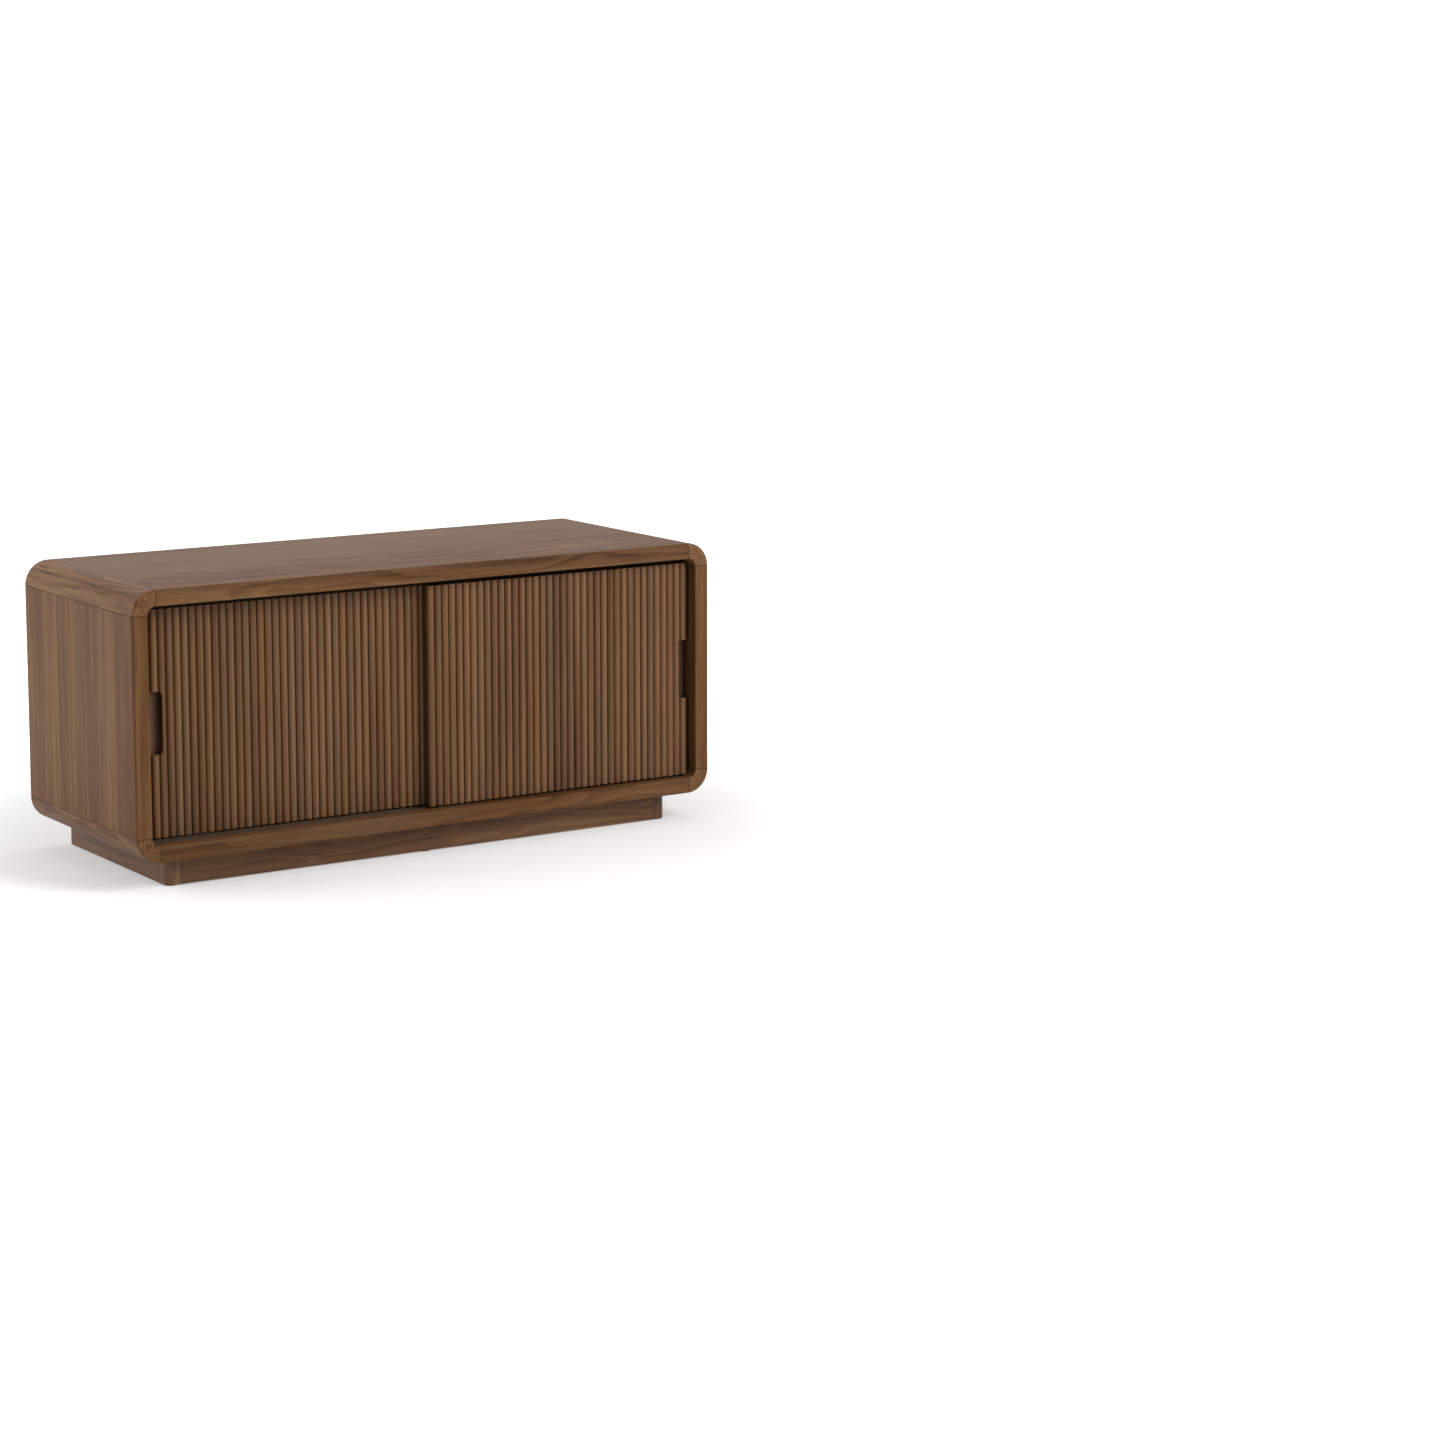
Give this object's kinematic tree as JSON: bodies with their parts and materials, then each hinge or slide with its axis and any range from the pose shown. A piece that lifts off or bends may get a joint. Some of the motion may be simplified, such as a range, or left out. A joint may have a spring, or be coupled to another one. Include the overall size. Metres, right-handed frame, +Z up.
{
  "type": "media cabinet",
  "caption": "Low wooden media cabinet with a rounded casing on a recessed plinth, reeded bypass sliding doors with finger notches, a divider and shelves on pins.",
  "frame": {"origin": "centre of the footprint on the floor", "axes": "+X to the right seen from the front along the width, +Y to the back, +Z up"},
  "size_m": [1.22, 0.48, 0.55],
  "materials": {
    "casing_walnut": "oiled walnut, satin",
    "door_walnut": "oiled walnut, satin",
    "reed_walnut": "oiled walnut, satin, each slat its own tone",
    "plinth_walnut": "oiled walnut, satin",
    "inner_walnut": "matte walnut veneer",
    "bare_wood": "bare sanded softwood and beech",
    "dark_track": "dark bronze anodised",
    "steel": "zinc plated",
    "nylon": "natural nylon",
    "rubber": "soft black",
    "grommet_plastic": "fine satin",
    "felt": "dense brown felt"
  },
  "bodies": {
    "case": {"back_bottom_battens": "bare_wood", "back_panel": "inner_walnut", "back_panel_screws": "steel", "back_top_battens": "bare_wood", "bottom_left_corner_block": "casing_walnut", "bottom_panel": "casing_walnut", "bottom_right_corner_block": "casing_walnut", "cable_grommets": "grommet_plastic", "case_dowels": "bare_wood", "centre_divider": "inner_walnut", "divider_dowels": "bare_wood", "door_bumpers": "rubber", "floor_glides": "felt", "left_shelf": "inner_walnut", "left_side_panel": "casing_walnut", "lower_track": "dark_track", "plinth_back_left_post": "plinth_walnut", "plinth_back_rail": "plinth_walnut", "plinth_back_right_post": "plinth_walnut", "plinth_cross_rail": "bare_wood", "plinth_dowels": "bare_wood", "plinth_front_left_post": "plinth_walnut", "plinth_front_rail": "plinth_walnut", "plinth_front_right_post": "plinth_walnut", "plinth_glue_blocks": "bare_wood", "plinth_left_rail": "plinth_walnut", "plinth_right_rail": "plinth_walnut", "plinth_screws": "steel", "right_shelf": "inner_walnut", "right_side_panel": "casing_walnut", "shelf_pins": "steel", "top_left_corner_block": "casing_walnut", "top_panel": "casing_walnut", "top_right_corner_block": "casing_walnut", "track_screws": "steel", "upper_track": "dark_track"},
    "front_door": {"front_door_panel": "door_walnut", "front_door_reeds": "reed_walnut", "front_door_roller_axles": "steel", "front_door_roller_housings": "nylon", "front_door_top_guides": "nylon"},
    "rear_door": {"rear_door_panel": "door_walnut", "rear_door_reeds": "reed_walnut", "rear_door_roller_axles": "steel", "rear_door_roller_housings": "nylon", "rear_door_top_guides": "nylon"},
    "front_door_left_roller": {"front_door_left_roller": "nylon"},
    "front_door_right_roller": {"front_door_right_roller": "nylon"},
    "rear_door_left_roller": {"rear_door_left_roller": "nylon"},
    "rear_door_right_roller": {"rear_door_right_roller": "nylon"}
  },
  "joints": [
    {"name": "front_door_slide", "type": "slide", "parent": "case", "child": "front_door", "axis": [1, 0, 0], "range_m": [-0.5708, 0]},
    {"name": "rear_door_slide", "type": "slide", "parent": "case", "child": "rear_door", "axis": [1, 0, 0], "range_m": [-0.02, 0.5508]},
    {"name": "front_door_left_roller_spin", "type": "hinge", "parent": "front_door", "child": "front_door_left_roller", "pos_m": [0.0666, -0.2055, 0.0943], "axis": [0, 1, 0], "range_deg": [-2980, 10]},
    {"name": "front_door_right_roller_spin", "type": "hinge", "parent": "front_door", "child": "front_door_right_roller", "pos_m": [0.50422, -0.2055, 0.0943], "axis": [0, 1, 0], "range_deg": [-2980, 10]},
    {"name": "rear_door_left_roller_spin", "type": "hinge", "parent": "rear_door", "child": "rear_door_left_roller", "pos_m": [-0.48422, -0.1775, 0.0943], "axis": [0, 1, 0], "range_deg": [-110, 2880]},
    {"name": "rear_door_right_roller_spin", "type": "hinge", "parent": "rear_door", "child": "rear_door_right_roller", "pos_m": [-0.0466, -0.1775, 0.0943], "axis": [0, 1, 0], "range_deg": [-110, 2880]}
  ],
  "couplings": [
    {"joint": "front_door_left_roller_spin", "follows": "front_door_slide", "rad_per_m": 90.909},
    {"joint": "front_door_right_roller_spin", "follows": "front_door_slide", "rad_per_m": 90.909},
    {"joint": "rear_door_left_roller_spin", "follows": "rear_door_slide", "rad_per_m": 90.909},
    {"joint": "rear_door_right_roller_spin", "follows": "rear_door_slide", "rad_per_m": 90.909}
  ]
}
